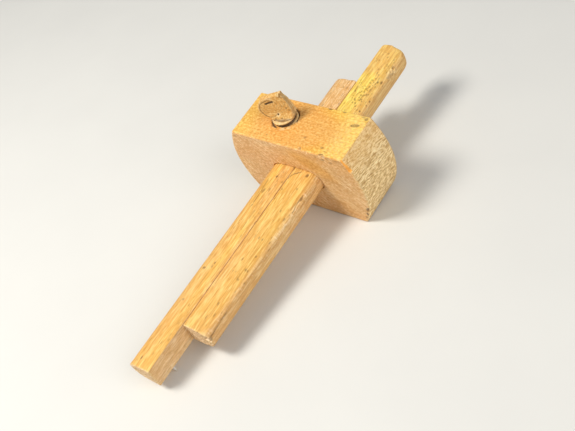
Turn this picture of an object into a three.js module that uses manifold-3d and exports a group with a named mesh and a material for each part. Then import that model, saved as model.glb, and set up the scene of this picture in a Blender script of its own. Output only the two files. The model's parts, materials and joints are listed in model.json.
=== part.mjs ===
// Mortise gauge of the old double-stem kind: two wooden stems slide side by side through one
// head, each with a steel pin near its front end, and one wooden thumb screw locks them.

import * as THREE from "three";
import { mergeVertices } from "three/addons/utils/BufferGeometryUtils.js";
import Module from "manifold-3d";

const wasm = await Module();
wasm.setup();

// Sizes are in millimetres. The gauge is drawn square to its own axes: X runs along the stems to
// their pins, Y across the head and Z up, from the middle of the head's top front edge.

// Head: a block with flat faces and two bowed ends.
const HEAD_TOP_WIDTH = 75;
const HEAD_BULGE = 6.9; // each bowed end stands this far out at half height
const HEAD_HEIGHT = 52.4;
const HEAD_THICKNESS = 31.8;
const HEAD_EDGE_BREAK = 0.7; // small chamfer round the front and the back face

// Stems: together they fill one oval, split down the middle.
const PAIR_WIDTH = 32.5;
const PAIR_HEIGHT = 14.6;
const PAIR_DEPTH = 25.6; // from the top of the head down to the middle of the oval
const OVAL_SQUARENESS = 3.3; // 2 would be an ellipse, more is squarer
const STEM_SPLIT_GAP = 0.3;
const MORTISE_CLEARANCE = 0.35;
const LEFT_STEM = { length: 204.8, reach: 136, outerCorner: 4, innerCorner: 1 };
const RIGHT_STEM = { length: 207.5, reach: 107, outerCorner: 5, innerCorner: 3 };

// Steel pins, one driven up into each stem close to the split.
const PIN_RADIUS = 0.8;
const PIN_FROM_END = 11.8;
const PIN_FROM_SPLIT = 2;
const PIN_OUT = 6;
const PIN_IN = 8;
const PIN_POINT = 2.4; // length of its sharpened cone
const PIN_TIP_RADIUS = 0.15;
const PIN_HOLE_CLEARANCE = 0.06;

// Thumb screw: right-hand wooden thread, with an off-centre thumb plate carved from the same piece.
const SCREW_BEHIND_MIDDLE = 2.1; // of the head's thickness
const SCREW_LEFT_OF_MIDDLE = 10.4; // of the head's width
const THREAD_RADIUS = 7.4;
const THREAD_DEPTH = 1.9;
const THREAD_PITCH = 4;
const THREAD_FLAT = 0.12; // share of the pitch that is flat at the crest, and again at the root
const THREAD_CLEARANCE = 0.3;
const THREAD_ABOVE_HEAD = 3.4;
const THREAD_LEAD_IN = 2; // the thread dies away over this length at the tip
const HOLE_MOUTH = 0.9; // the mouth of the threaded hole is opened out by this much
const PLATE_TURN = THREE.MathUtils.degToRad(110);
const PLATE_RADIUS = 7; // of its round left side
const PLATE_CENTRE = [-5.2, 10.3]; // across from the screw's axis, and up from the head's top
const PLATE_ARC_END = THREE.MathUtils.degToRad(205); // where the round side gives way to the foot
const PLATE_FOOT = { left: 5.6, right: 7 }; // its reach to each side of the screw's axis
const PLATE_PEAK = [3.9, 20.2]; // the highest corner, where the straight right flank ends
const PLATE_FOOT_THICKNESS = 9;
const PLATE_WAIST = { up: 7, thickness: 5.8 }; // above it the plate thins slowly, below it fast
const PLATE_TOP_THICKNESS = 2.8;

// Pressure pad: a loose disc between the tip of the screw and the left stem.
const PAD_THICKNESS = 2.4;
const PAD_SIDE_CLEARANCE = 0.9; // all round, inside the threaded hole
const TOUCH_GAP = 0.3; // left between pieces that bear on each other

// Smoothness of the faceted curves.
const OVAL_STEPS = 64;
const END_STEPS = 20;
const THREAD_SIDES = 28;
const THREAD_STEPS_PER_TURN = 10;
const ROUND_SIDES = 24;

const SCREW_AT = [-HEAD_THICKNESS / 2 - SCREW_BEHIND_MIDDLE, -SCREW_LEFT_OF_MIDDLE, 0];

const X = new THREE.Vector3(1, 0, 0);
const Y = new THREE.Vector3(0, 1, 0);
const Z = new THREE.Vector3(0, 0, 1);

// ---- Solids ----

function solidFrom(geometry) {
  const bare = geometry.clone();
  bare.deleteAttribute("normal");
  bare.deleteAttribute("uv");
  const merged = mergeVertices(bare, 1e-4);
  const vertProperties = new Float32Array(merged.attributes.position.array);
  const triVerts = new Uint32Array(merged.index.array);
  return new wasm.Manifold(new wasm.Mesh({ numProp: 3, vertProperties, triVerts }));
}

function geometryFrom(solid) {
  const mesh = solid.getMesh();
  const geometry = new THREE.BufferGeometry();
  geometry.setAttribute("position", new THREE.BufferAttribute(mesh.vertProperties, 3));
  geometry.setIndex(new THREE.BufferAttribute(mesh.triVerts, 1));
  const flat = geometry.toNonIndexed();
  flat.computeVertexNormals();
  return flat;
}

function shapeFrom(points) {
  return new THREE.Shape(points.map(([a, b]) => new THREE.Vector2(a, b)));
}

// Extrudes an outline of [across, up] points along X, from x = back to x = front.
function prismAlongX(points, back, front, edgeBreak = 0) {
  const geometry = new THREE.ExtrudeGeometry(shapeFrom(points), {
    depth: front - back - 2 * edgeBreak,
    bevelEnabled: edgeBreak > 0,
    bevelThickness: edgeBreak,
    bevelSize: edgeBreak,
    bevelOffset: -edgeBreak,
    bevelSegments: 1,
  });
  const place = new THREE.Matrix4().makeBasis(Y, Z, X).setPosition(back + edgeBreak, 0, 0);
  return geometry.applyMatrix4(place);
}

// ---- Head ----

// Corner points of the head's face: flat top and bottom, and one circular arc at each end.
function headOutline() {
  const halfHeight = HEAD_HEIGHT / 2;
  const radius = (halfHeight ** 2 + HEAD_BULGE ** 2) / (2 * HEAD_BULGE);
  const arcCentre = HEAD_TOP_WIDTH / 2 + HEAD_BULGE - radius;
  const halfAngle = Math.asin(halfHeight / radius);
  const points = [];
  for (const side of [1, -1]) {
    for (let i = 0; i <= END_STEPS; i++) {
      const angle = halfAngle * ((2 * i) / END_STEPS - 1);
      const across = side * (arcCentre + radius * Math.cos(angle));
      points.push([across, side * radius * Math.sin(angle) - halfHeight]);
    }
  }
  return points;
}

// The oval of the two stems, its half sizes grown by `grow`, between two angles seen from the front.
function ovalOutline(grow, from, to, steps) {
  const points = [];
  for (let i = 0; i <= steps; i++) {
    const angle = from + ((to - from) * i) / steps;
    const [c, s] = [Math.cos(angle), Math.sin(angle)];
    const across = Math.sign(c) * Math.abs(c) ** (2 / OVAL_SQUARENESS);
    const up = Math.sign(s) * Math.abs(s) ** (2 / OVAL_SQUARENESS);
    points.push([(PAIR_WIDTH / 2 + grow) * across, (PAIR_HEIGHT / 2 + grow) * up - PAIR_DEPTH]);
  }
  return points;
}

function makeHead() {
  const block = solidFrom(prismAlongX(headOutline(), -HEAD_THICKNESS, 0, HEAD_EDGE_BREAK));
  const mortiseOutline = ovalOutline(MORTISE_CLEARANCE, 0, 2 * Math.PI, OVAL_STEPS).slice(0, -1);
  const past = HEAD_THICKNESS / 4;
  const mortise = solidFrom(prismAlongX(mortiseOutline, -HEAD_THICKNESS - past, past));
  const hole = solidFrom(threadGeometry(THREAD_CLEARANCE, -PAIR_DEPTH, HOLE_MOUTH * 2, HOLE_MOUTH));
  return geometryFrom(block.subtract(mortise).subtract(hole.translate(SCREW_AT)));
}

// ---- Stems and pins ----

// Plan of one stem: square at the front end and rounded at both corners of the back end.
function stemPlan(stem, side) {
  const [front, back] = [stem.reach, stem.reach - stem.length];
  const inner = STEM_SPLIT_GAP / 2;
  const outer = PAIR_WIDTH / 2;
  const [ri, ro] = [stem.innerCorner, stem.outerCorner];
  const plan = new THREE.Shape();
  plan.moveTo(front, side * inner);
  plan.lineTo(front, side * (outer + 1));
  plan.lineTo(back + ro, side * (outer + 1));
  plan.lineTo(back + ro, side * outer);
  plan.absarc(back + ro, side * (outer - ro), ro, (side * Math.PI) / 2, Math.PI * side, side < 0);
  plan.lineTo(back, side * (inner + ri));
  plan.absarc(back + ri, side * (inner + ri), ri, Math.PI * side, (Math.PI * 3 * side) / 2, side < 0);
  return plan;
}

// side is 1 for the right stem and -1 for the left one.
function makeStem(stem, side) {
  const half = Math.PI / 2;
  const outline = ovalOutline(0, -half, half, OVAL_STEPS / 2).map(([y, z]) => [side * y, z]);
  const bar = solidFrom(prismAlongX(outline, stem.reach - stem.length, stem.reach));
  const planPrism = new THREE.ExtrudeGeometry(stemPlan(stem, side), {
    depth: 2 * PAIR_HEIGHT,
    bevelEnabled: false,
    curveSegments: ROUND_SIDES / 4,
  }).translate(0, 0, -PAIR_DEPTH - PAIR_HEIGHT);
  const pinHole = new THREE.CylinderGeometry(
    PIN_RADIUS + PIN_HOLE_CLEARANCE,
    PIN_RADIUS + PIN_HOLE_CLEARANCE,
    2 * (PIN_IN + TOUCH_GAP),
    ROUND_SIDES,
  ).rotateX(half);
  pinHole.translate(...pinFoot(stem, side));
  return geometryFrom(bar.intersect(solidFrom(planPrism)).subtract(solidFrom(pinHole)));
}

// The middle of a pin where it leaves the underside of its stem.
function pinFoot(stem, side) {
  return [stem.reach - PIN_FROM_END, side * PIN_FROM_SPLIT, -PAIR_DEPTH - PAIR_HEIGHT / 2];
}

function makePin(stem, side) {
  const profile = [
    [0, PIN_IN],
    [PIN_RADIUS, PIN_IN],
    [PIN_RADIUS, PIN_POINT - PIN_OUT],
    [PIN_TIP_RADIUS, -PIN_OUT],
    [0, -PIN_OUT],
  ];
  const points = profile.reverse().map(([r, z]) => new THREE.Vector2(r, z));
  const pin = new THREE.LatheGeometry(points, ROUND_SIDES).rotateX(Math.PI / 2);
  return geometryFrom(solidFrom(pin.translate(...pinFoot(stem, side))));
}

// ---- Thumb screw and pad ----

// Height of the thread between root, 0, and crest, 1, at a place in its pitch from 0 to 1.
function ridge(place) {
  const slope = 0.5 - THREAD_FLAT;
  const fromCrest = Math.abs(place - 0.5) - THREAD_FLAT / 2;
  return THREE.MathUtils.clamp(1 - fromCrest / slope, 0, 1);
}

// A closed threaded bar on the Z axis, grown by `grow`, with a flared top end or a fading tip.
function threadGeometry(grow, bottom, top, flare, leadIn = 0) {
  const rings = Math.ceil(((top - bottom) / THREAD_PITCH) * THREAD_STEPS_PER_TURN);
  const positions = [];
  for (let j = 0; j <= rings; j++) {
    const z = bottom + ((top - bottom) * j) / rings;
    const grown = leadIn > 0 ? THREE.MathUtils.clamp((z - bottom) / leadIn, 0, 1) : 1;
    const opened = flare > 0 ? Math.max(0, z + flare) : 0;
    for (let i = 0; i < THREAD_SIDES; i++) {
      const turn = i / THREAD_SIDES;
      const place = THREE.MathUtils.euclideanModulo(z / THREAD_PITCH - turn, 1);
      const root = THREAD_RADIUS - THREAD_DEPTH + grow;
      const radius = root + THREAD_DEPTH * grown * ridge(place) + opened;
      const angle = 2 * Math.PI * turn;
      positions.push(radius * Math.cos(angle), radius * Math.sin(angle), z);
    }
  }
  const faces = [];
  for (let j = 0; j < rings; j++) {
    for (let i = 0; i < THREAD_SIDES; i++) {
      const next = (i + 1) % THREAD_SIDES;
      const [a, b] = [j * THREAD_SIDES + i, j * THREAD_SIDES + next];
      faces.push(a, b, b + THREAD_SIDES, a, b + THREAD_SIDES, a + THREAD_SIDES);
    }
  }
  const lowest = positions.length / 3;
  positions.push(0, 0, bottom, 0, 0, top);
  const topRing = rings * THREAD_SIDES;
  for (let i = 0; i < THREAD_SIDES; i++) {
    const next = (i + 1) % THREAD_SIDES;
    faces.push(lowest, next, i, lowest + 1, topRing + i, topRing + next);
  }
  const geometry = new THREE.BufferGeometry();
  geometry.setAttribute("position", new THREE.Float32BufferAttribute(positions, 3));
  geometry.setIndex(faces);
  return geometry;
}

// The flat thumb plate: the outline of its face, thinned upwards from a broad foot. Its top edge
// runs straight from the peak onto the round side.
function plateSolid() {
  const foot = THREAD_ABOVE_HEAD - TOUCH_GAP;
  const [peakAcross, peakUp] = PLATE_PEAK;
  const [across, up] = [peakAcross - PLATE_CENTRE[0], peakUp - PLATE_CENTRE[1]];
  const arcStart = Math.atan2(up, across) + Math.acos(PLATE_RADIUS / Math.hypot(across, up));
  const face = new THREE.Shape();
  face.moveTo(-PLATE_FOOT.left, foot);
  face.lineTo(PLATE_FOOT.right, foot);
  face.lineTo(peakAcross, peakUp);
  face.absarc(...PLATE_CENTRE, PLATE_RADIUS, arcStart, PLATE_ARC_END, false);
  const depth = 2 * THREAD_RADIUS;
  const cut = new THREE.ExtrudeGeometry(face, {
    depth,
    bevelEnabled: false,
    curveSegments: ROUND_SIDES,
  });
  cut.translate(0, 0, -depth / 2).rotateX(Math.PI / 2);
  const rightSide = [
    [PLATE_FOOT_THICKNESS / 2, foot],
    [PLATE_WAIST.thickness / 2, PLATE_WAIST.up],
    [PLATE_TOP_THICKNESS / 2, peakUp + 1],
  ];
  const leftSide = rightSide.map(([half, up]) => [-half, up]).reverse();
  const reach = 3 * PLATE_RADIUS;
  const slimming = solidFrom(prismAlongX([...rightSide, ...leftSide], -reach, reach));
  return solidFrom(cut).intersect(slimming);
}

function makeThumbScrew() {
  const tip = padTop() + TOUCH_GAP;
  const shank = solidFrom(threadGeometry(0, tip, THREAD_ABOVE_HEAD, 0, THREAD_LEAD_IN));
  const plate = plateSolid().rotate([0, 0, THREE.MathUtils.radToDeg(PLATE_TURN)]);
  return geometryFrom(shank.add(plate));
}

// Heights of the pad above the head's top, both below zero: it lies on the top of the stems.
function padBottom() {
  return -PAIR_DEPTH + PAIR_HEIGHT / 2 + TOUCH_GAP;
}

function padTop() {
  return padBottom() + PAD_THICKNESS;
}

function makePad() {
  const radius = THREAD_RADIUS - THREAD_DEPTH + THREAD_CLEARANCE - PAD_SIDE_CLEARANCE;
  const pad = new THREE.CylinderGeometry(radius, radius, PAD_THICKNESS, ROUND_SIDES);
  pad.rotateX(Math.PI / 2).translate(0, 0, (padBottom() + padTop()) / 2);
  return geometryFrom(solidFrom(pad));
}

// ---- Assembly ----

function part(name, geometry, color, roughness, metalness = 0) {
  const material = new THREE.MeshStandardMaterial({ color, roughness, metalness });
  const mesh = new THREE.Mesh(geometry, material);
  mesh.name = name;
  return mesh;
}

const gauge = new THREE.Group();
gauge.add(
  part("gauge_head", makeHead(), 0xd9ae74, 0.6),
  part("left_stem", makeStem(LEFT_STEM, -1), 0xe0b878, 0.58),
  part("right_stem", makeStem(RIGHT_STEM, 1), 0xe0b878, 0.58),
  part("left_pin", makePin(LEFT_STEM, -1), 0x9a9a98, 0.35, 1),
  part("right_pin", makePin(RIGHT_STEM, 1), 0x9a9a98, 0.35, 1),
);

const clamp = new THREE.Group();
clamp.position.set(...SCREW_AT);
clamp.add(
  part("thumb_screw", makeThumbScrew(), 0xb98a52, 0.55),
  part("pressure_pad", makePad(), 0x7a5230, 0.8),
);
gauge.add(clamp);

// The gauge lies nose down: it rests on the lower front edge of the head and on the left stem's
// pin, or on the end of that stem if the pin is too short to touch.
const undersideRise = HEAD_HEIGHT - PAIR_DEPTH - PAIR_HEIGHT / 2;
const pinAngle = Math.atan2(undersideRise - PIN_OUT, LEFT_STEM.reach - PIN_FROM_END);
const endAngle = Math.atan2(undersideRise, LEFT_STEM.reach);
gauge.rotation.y = Math.min(pinAngle, endAngle);

// The origin is the middle of the box around the gauge, on the surface it lies on.
const box = new THREE.Box3().setFromObject(gauge, true);
gauge.position.set(-(box.min.x + box.max.x) / 2, -(box.min.y + box.max.y) / 2, -box.min.z);

const group = new THREE.Group();
group.add(gauge);

export default group;
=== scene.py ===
"""Old wooden mortise gauge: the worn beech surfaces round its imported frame.

Run as a script, it builds every piece of the gauge and the stage it is shown on.
"""

import itertools
import json
import math

import bmesh
import bpy
import numpy as np
from mathutils import Matrix, Vector

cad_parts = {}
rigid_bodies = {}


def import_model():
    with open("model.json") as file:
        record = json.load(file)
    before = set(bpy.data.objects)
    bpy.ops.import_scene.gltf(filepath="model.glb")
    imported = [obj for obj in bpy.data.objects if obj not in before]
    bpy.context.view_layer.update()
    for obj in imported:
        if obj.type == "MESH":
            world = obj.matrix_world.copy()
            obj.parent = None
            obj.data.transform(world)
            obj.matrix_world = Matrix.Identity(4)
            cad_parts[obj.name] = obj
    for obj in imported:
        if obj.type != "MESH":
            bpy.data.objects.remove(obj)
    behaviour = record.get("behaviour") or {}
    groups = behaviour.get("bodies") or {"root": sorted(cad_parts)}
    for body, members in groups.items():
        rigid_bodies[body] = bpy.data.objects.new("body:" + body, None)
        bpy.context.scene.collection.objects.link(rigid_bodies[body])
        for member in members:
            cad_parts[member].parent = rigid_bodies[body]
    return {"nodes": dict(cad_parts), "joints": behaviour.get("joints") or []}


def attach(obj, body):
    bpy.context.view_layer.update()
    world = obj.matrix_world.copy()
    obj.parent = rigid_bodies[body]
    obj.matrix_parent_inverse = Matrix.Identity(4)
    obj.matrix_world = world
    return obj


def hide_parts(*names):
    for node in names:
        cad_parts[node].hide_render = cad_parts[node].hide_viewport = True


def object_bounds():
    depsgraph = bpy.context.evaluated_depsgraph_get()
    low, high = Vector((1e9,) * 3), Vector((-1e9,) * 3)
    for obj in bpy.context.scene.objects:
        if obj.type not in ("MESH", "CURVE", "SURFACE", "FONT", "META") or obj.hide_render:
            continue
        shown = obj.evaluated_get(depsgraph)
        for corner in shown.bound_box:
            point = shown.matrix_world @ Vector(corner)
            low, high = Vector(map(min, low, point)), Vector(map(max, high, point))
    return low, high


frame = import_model()

bl_info = {
    "name": "Mortise Gauge",
    "version": (1, 0, 0),
    "blender": (4, 5, 0),
    "location": "View3D > Sidebar > Gauge",
    "description": "Builds the worn wooden pieces of a double-stem mortise gauge",
    "category": "Object",
}

CAD_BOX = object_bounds()
MM = 0.001
SEED = 7


# ---- The gauge's own axes: X along the stems to their pins, Y across the head, Z up ----


def joint(name):
    return next(j for j in frame["joints"] if j["name"] == name)


def gauge_axes():
    """Where the gauge's own axes stand: their origin is the middle of the head's top front edge."""
    along = Vector(joint("left_stem_slide")["axis"]).normalized()
    up = Vector(joint("screw_rise")["axis"]).normalized()
    turn = Matrix((along, up.cross(along), up)).transposed()
    corners = np.array([v.co @ turn for v in frame["nodes"]["gauge_head"].data.vertices])
    low, high = corners.min(0), corners.max(0)
    edge = Vector((high[0], (low[1] + high[1]) / 2, high[2]))
    return Matrix.Translation(turn @ edge) @ turn.to_4x4()


GAUGE = gauge_axes()


def node_points(node):
    """The points of a CAD node in the gauge's own axes, in millimetres."""
    inverse = GAUGE.inverted()
    points = [inverse @ v.co for v in frame["nodes"][node].data.vertices]
    return np.array(points) / MM


def node_box(node):
    points = node_points(node)
    return points.min(0), points.max(0)


# ---- Small tools for shaping a skin of points ----


ALONG, ACROSS, UP = np.eye(3)
# The axis that a marked face looks along.
SIDE_ALONG, SIDE_ACROSS, SIDE_UP = range(3)


def step(low, high, value):
    """0 below low, 1 above high, and smooth in between. It falls instead where low is above high."""
    t = np.clip((value - low) / (high - low), 0, 1)
    return t * t * (3 - 2 * t)


def between(low, high, value, soft):
    """1 between low and high, fading to 0 over soft outside them."""
    return step(low - soft, low, value) * step(high + soft, high, value)


# Large whole numbers that scatter the values of neighbouring cells in lumps().
CELL_MIX = np.array((73856093, 19349663, 83492791))
SEED_MIX = 2654435
LAST_MIX = 1274126177


def lumps(points, size, seed):
    """Smooth noise from -1 to 1 over points in millimetres. size is a lump's along X, Y and Z."""
    places = points / np.array(size, float) + seed * 17.31
    cell = np.floor(places).astype(np.int64)
    t = places - cell
    t = t * t * (3 - 2 * t)
    total = np.zeros(len(points))
    for corner in itertools.product((0, 1), repeat=3):
        mixed = np.bitwise_xor.reduce((cell + np.array(corner)) * CELL_MIX, axis=1) ^ (seed * SEED_MIX)
        mixed = mixed & 0x7FFFFFFF
        mixed = ((mixed ^ (mixed >> 13)) * LAST_MIX) & 0x7FFFFFFF
        mixed = (mixed ^ (mixed >> 16)) & 0xFFFF
        share = np.prod(np.where(np.array(corner), t, 1 - t), axis=1)
        total += (mixed / 32767.5 - 1) * share
    return total


def off_line(points, start, end):
    """Distance of each point from the straight line between start and end."""
    start, end = np.array(start, float), np.array(end, float)
    line = end - start
    share = np.clip((points - start) @ line / (line @ line), 0, 1)
    return np.linalg.norm(points - start - share[:, None] * line, axis=1)


class Skin:
    """A mesh's points as arrays, in millimetres in the gauge's own axes, with layers painted on them."""

    # Pale rubbed places share a layer with painted highlights, and dark grimy places share one with
    # painted shade.
    LAYERS = ("end_grain", "wear", "dirt", "fuzz", "polish", "tone", "stain")

    def __init__(self, mesh):
        self.mesh = mesh
        self.points = self.read("vertices", "co", 3) / MM
        self.facing = self.read("vertices", "normal", 3)
        self.edges = self.read("edges", "vertices", 2, np.int32)
        self.neighbours = np.bincount(self.edges.ravel(), minlength=len(self.points)).clip(1)
        self.layers = {name: np.zeros(len(self.points)) for name in self.LAYERS}
        self.keen = self.keenness()

    def read(self, group, name, width, kind=np.float32):
        items = getattr(self.mesh, group)
        values = np.empty(len(items) * width, kind)
        items.foreach_get(name, values)
        return values.reshape(-1, width).astype(float if kind is np.float32 else kind)

    def average(self, values):
        """The mean of each point's neighbours, along the mesh's edges."""
        a, b = self.edges.T
        count = len(self.points)
        sums = [np.bincount(a, c[b], count) + np.bincount(b, c[a], count) for c in values.T]
        return (np.array(sums) / self.neighbours).T

    def keenness(self):
        """How far each point stands proud of what is round it, in millimetres: edges are above 0."""
        mean = self.points
        for _ in range(4):
            mean = self.average(mean)
        return ((self.points - mean) * self.facing).sum(1)

    def lumps(self, size, seed):
        return lumps(self.points, size, SEED + seed)

    def relax(self, times, share=1.0):
        for _ in range(times):
            moved = self.average(self.points) - self.points
            self.points += moved * np.reshape(share, (-1, 1)) * 0.5

    def push(self, height):
        """Moves each point out along its facing; a height below 0 sinks it."""
        self.points += self.facing * np.reshape(height, (-1, 1))

    def paint(self, **layers):
        for layer, amount in layers.items():
            self.layers[layer] = np.maximum(self.layers[layer], amount)

    def tint(self, amount):
        self.layers["tone"] += amount

    def dent(self, at, size, depth, dirt, side, turn=0.0):
        """A small oval dent. size is its half length and half width, turned about side's axis."""
        flat = [i for i in range(3) if i != side]
        off = self.points[:, flat] - np.array(at)[flat]
        c, s = math.cos(turn), math.sin(turn)
        far = np.hypot(
            (off[:, 0] * c + off[:, 1] * s) / size[0], (off[:, 1] * c - off[:, 0] * s) / size[1]
        )
        faces = step(0.25, 0.6, self.facing[:, side])
        hole = step(1.25, 0.55, far) * faces
        self.push(-depth * hole)
        self.paint(dirt=dirt * hole)
        return far, faces

    def dents(self, marks, level, depth, side, turn=0.0):
        """A dent for each of marks, on a face at level along side's axis."""
        for *at, length, width, dirt in marks:
            self.dent(np.insert(at, side, level), (length, width), depth, dirt, side, turn)

    def crack(self, route, width, depth, dirt, side):
        """A thin crack along a route of points, as seen square to side's axis."""
        flat = [i for i in range(3) if i != side]
        places = self.points[:, flat] + 0.25 * np.stack(
            [self.lumps((3, 3, 3), 40 + i) for i in range(2)], 1
        )
        route = np.array(route)[:, flat]
        near = np.full(len(places), 1e9)
        for start, end in itertools.pairwise(route):
            near = np.minimum(near, off_line(places, start, end))
        faces = step(0.2, 0.5, self.facing[:, side])
        line = step(width * 1.3, width * 0.5, near) * faces
        self.push(-depth * line)
        self.paint(dirt=dirt * line)

    def bevel(self, depth_a, depth_b, in_a, in_b, width):
        """Planes off the edge between two faces, whose depths below them and inward ways are given."""
        over = np.clip(width - depth_a - depth_b, 0, None) / 2
        over = over * (depth_a > -1) * (depth_b > -1)
        self.points += over[:, None] * (in_a + in_b)
        return step(0.0, 0.12, over)

    def finish(self):
        """Writes the points, kept inside the frame's own box, and the layers back to the mesh."""
        turn, shift = np.array(GAUGE.to_3x3()), np.array(GAUGE.translation)
        placed = np.clip(self.points * MM @ turn.T + shift, *np.array(CAD_BOX))
        self.mesh.vertices.foreach_set("co", placed.astype(np.float32).ravel())
        for name, values in self.layers.items():
            layer = self.mesh.attributes.new(name, "FLOAT", "POINT")
            layer.data.foreach_set("value", values.astype(np.float32))
        self.mesh.update()


# ---- Pieces ----


def add_piece(name, mesh, body, material, node):
    """Puts a finished mesh on its body in place of its CAD node."""
    for old in [o for o in bpy.data.objects if o.name == name]:
        bpy.data.objects.remove(old)
    piece = bpy.data.objects.new(name, mesh)
    bpy.context.scene.collection.objects.link(piece)
    mesh.name = name
    mesh.materials.clear()
    mesh.materials.append(material)
    mesh.shade_smooth()
    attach(piece, body)
    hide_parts(node)


def fine_skin(node, grain, smooth, kind=Skin):
    """A skin over a CAD node's closed shape, with an even mesh of size grain, smoothed a few times."""
    bm = bmesh.new()
    bm.from_mesh(frame["nodes"][node].data)
    bmesh.ops.remove_doubles(bm, verts=bm.verts, dist=0.001 * MM)
    bmesh.ops.transform(bm, matrix=GAUGE.inverted(), verts=bm.verts)
    mesh = bpy.data.meshes.new("even")
    bm.to_mesh(mesh)
    bm.free()
    body = bpy.data.objects.new("even", mesh)
    bpy.context.scene.collection.objects.link(body)
    even = body.modifiers.new("even", "REMESH")
    even.mode = "VOXEL"
    even.voxel_size = grain
    ease = body.modifiers.new("ease", "SMOOTH")
    ease.factor = 0.5
    ease.iterations = smooth
    seen = body.evaluated_get(bpy.context.evaluated_depsgraph_get())
    fine = bpy.data.meshes.new_from_object(seen)
    bpy.data.objects.remove(body)
    return kind(fine)


# ---- Materials ----


class Nodes:
    """A new material's node tree, and short ways to add to it."""

    def __init__(self, name):
        old = bpy.data.materials.get(name)
        if old:
            bpy.data.materials.remove(old)
        self.material = bpy.data.materials.new(name)
        self.material.use_nodes = True
        self.tree = self.material.node_tree
        self.tree.nodes.clear()
        self.shader = self.add("ShaderNodeBsdfPrincipled")
        out = self.add("ShaderNodeOutputMaterial")
        self.tree.links.new(self.shader.outputs[0], out.inputs["Surface"])

    def add(self, kind, inputs=None, **settings):
        node = self.tree.nodes.new(kind)
        for name, value in settings.items():
            setattr(node, name, value)
        for name, value in (inputs or {}).items():
            self.set(node.inputs[name], value)
        return node

    def set(self, socket, value):
        if isinstance(value, bpy.types.NodeSocket):
            self.tree.links.new(value, socket)
        else:
            socket.default_value = value

    def place(self):
        """The place of each point in the gauge's own axes, so the grain follows the wood."""
        back = GAUGE.inverted()
        inputs = {
            "Vector": self.add("ShaderNodeTexCoord").outputs["Object"],
            "Rotation": back.to_euler(),
            "Location": back.translation,
        }
        return self.add("ShaderNodeMapping", inputs).outputs[0]

    def scaled(self, vector, size, turn=(0.0, 0.0, 0.0)):
        """vector measured in steps of size, given in millimetres along X, Y and Z once turned."""
        turned = self.add("ShaderNodeMapping", {"Vector": vector, "Rotation": turn}).outputs[0]
        scale = [1 / (s * MM) for s in size]
        return self.add("ShaderNodeMapping", {"Vector": turned, "Scale": scale}).outputs[0]

    def noise(self, vector, size, detail=3.0, roughness=0.55, distortion=0.0, turn=(0.0, 0.0, 0.0)):
        inputs = {
            "Vector": self.scaled(vector, size, turn),
            "Scale": 1.0,
            "Detail": detail,
            "Roughness": roughness,
            "Distortion": distortion,
        }
        return self.add("ShaderNodeTexNoise", inputs).outputs[0]

    def ramp(self, value, low, high, start=0.0, end=1.0):
        inputs = {0: value, 1: low, 2: high, 3: start, 4: end}
        return self.add("ShaderNodeMapRange", inputs, clamp=True).outputs[0]

    def math(self, operation, a, b=0.0):
        return self.add("ShaderNodeMath", {0: a, 1: b}, operation=operation).outputs[0]

    def times(self, a, b):
        return self.math("MULTIPLY", a, b)

    def plus(self, a, b):
        return self.math("ADD", a, b)

    def vector(self, operation, a, b=(0.0, 0.0, 0.0)):
        return self.add("ShaderNodeVectorMath", {0: a, 1: b}, operation=operation)

    def mix(self, factor, a, b, blend="MIX"):
        node = self.add("ShaderNodeMix", data_type="RGBA", blend_type=blend)
        for index, value in ((0, factor), (6, a), (7, b)):
            if index and not isinstance(value, bpy.types.NodeSocket):
                value = (*value[:3], 1.0)
            self.set(node.inputs[index], value)
        return node.outputs[2]

    def tones(self, colour, colours, rows):
        """colour under tones laid over it in turn, each as far as its value goes from low to high."""
        for value, low, high, amount, tone in rows:
            colour = self.mix(self.ramp(value, low, high, 0.0, amount), colour, colours[tone])
        return colour

    def layer(self, name):
        """What the skin was painted with."""
        return self.add("ShaderNodeAttribute", attribute_name=name).outputs["Fac"]

    def coat(self, inputs, height, strength, depth):
        """Sets the shader's inputs and a bump of depth in millimetres, and gives back the material."""
        bump = {"Height": height, "Strength": strength, "Distance": depth * MM}
        inputs["Normal"] = self.add("ShaderNodeBump", bump).outputs[0]
        for name, value in inputs.items():
            self.set(self.shader.inputs[name], value)
        return self.material


def along(grain, length, width):
    """A size that is length along the grain axis, 0 for X or 1 for Y, and width across it."""
    size = [width, width, width]
    size[grain] = length
    return size


# What an aged surface's colour is multiplied by.
YELLOWED = (1.12, 1.4, 0.8)
FADED = (0.98, 1.07, 1.85)
STAINED = (0.98, 0.89, 0.72)


def wood_noises(n, place, grain, grit_size):
    """The patterns of old wood: those in the first table are drawn out along the grain."""
    drawn_out = {
        "streak": (60, 0.9, 5.0, 0.6, 0.1),
        "fibre": (7, 0.42, 3.0, 0.6),
        "broad": (60, 17, 3.0, 0.5),
        "speckle": (2.4, 0.9, 2.0, 0.6),
        "grit": (*grit_size, 1.5, 0.55),
        "fleck": (2.2, 0.5, 2.0, 0.5),
        "vein": (170, 2.8, 1.0, 0.5),
    }
    settings = {
        "patch": ((6, 6, 6), 4.0, 0.6),
        "smudge": ((3.4, 5.2, 3.4), 5.0, 0.62, 0.6),
        "scratch": ((0.5, 15, 0.42), 3.0, 0.55, 0.0, (0.75, 0.0, 0.0)),
        "hair": ((2.8, 0.9, 0.5), 3.0, 0.6, 0.2, (0.0, 0.14, 0.0)),
    }
    for name, (length, width, *rest) in drawn_out.items():
        settings[name] = (along(grain, length, width), *rest)
    return {name: n.noise(place, *row) for name, row in settings.items()}


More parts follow.
